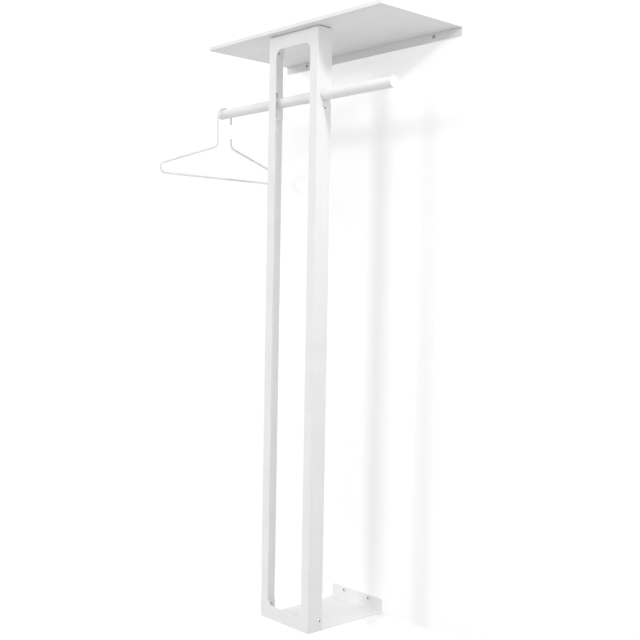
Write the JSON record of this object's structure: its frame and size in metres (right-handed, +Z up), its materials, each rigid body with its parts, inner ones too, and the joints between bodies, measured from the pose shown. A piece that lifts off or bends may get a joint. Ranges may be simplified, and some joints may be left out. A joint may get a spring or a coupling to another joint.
{
  "type": "wall coat rack",
  "caption": "Wall coat rack: tall folded-sheet post with a long rounded window, a flat shelf on top, a round rod, a base plate and a wire hanger that slides along the rod.",
  "frame": {"origin": "centre of the back face of the shelf's wall flange, where the rack hangs on the wall", "axes": "+X to the right along the wall, +Y into the wall, +Z up"},
  "size_m": [0.7, 0.5141, 1.616],
  "materials": {
    "powder_coat": "satin white powder coat",
    "wire_coat": "smooth white coat on steel wire",
    "zinc": "zinc plated",
    "cap_plastic": "fine matte moulding"
  },
  "bodies": {
    "rack": {"post_frame": "powder_coat", "shelf_pan": "powder_coat", "shelf_liner": "powder_coat", "top_bracket": "powder_coat", "base_plate": "powder_coat", "rod_tube": "powder_coat", "rod_plate_left": "powder_coat", "rod_plate_right": "powder_coat", "rod_end_cap_left": "cap_plastic", "rod_end_cap_right": "cap_plastic", "shelf_wall_screw_left": "zinc", "shelf_wall_screw_right": "zinc", "shelf_weld_nut_left": "zinc", "shelf_weld_nut_right": "zinc", "shelf_bolt_left": "zinc", "shelf_bolt_right": "zinc", "top_weld_stud_left": "zinc", "top_weld_stud_right": "zinc", "top_nut_left": "zinc", "top_nut_right": "zinc", "base_wall_screw_left": "zinc", "base_wall_screw_right": "zinc", "base_screw_left": "zinc", "base_screw_right": "zinc", "base_nut_left": "zinc", "base_nut_right": "zinc", "rod_screw_left": "zinc", "rod_screw_right": "zinc", "rod_nut_left": "zinc", "rod_nut_right": "zinc", "rod_set_screw_left": "zinc", "rod_set_screw_right": "zinc"},
    "hanger": {"hanger": "wire_coat"}
  },
  "joints": [
    {"name": "hanger_slide", "type": "slide", "parent": "rack", "child": "hanger", "axis": [1, 0, 0], "range_m": [0, 0.229]}
  ]
}
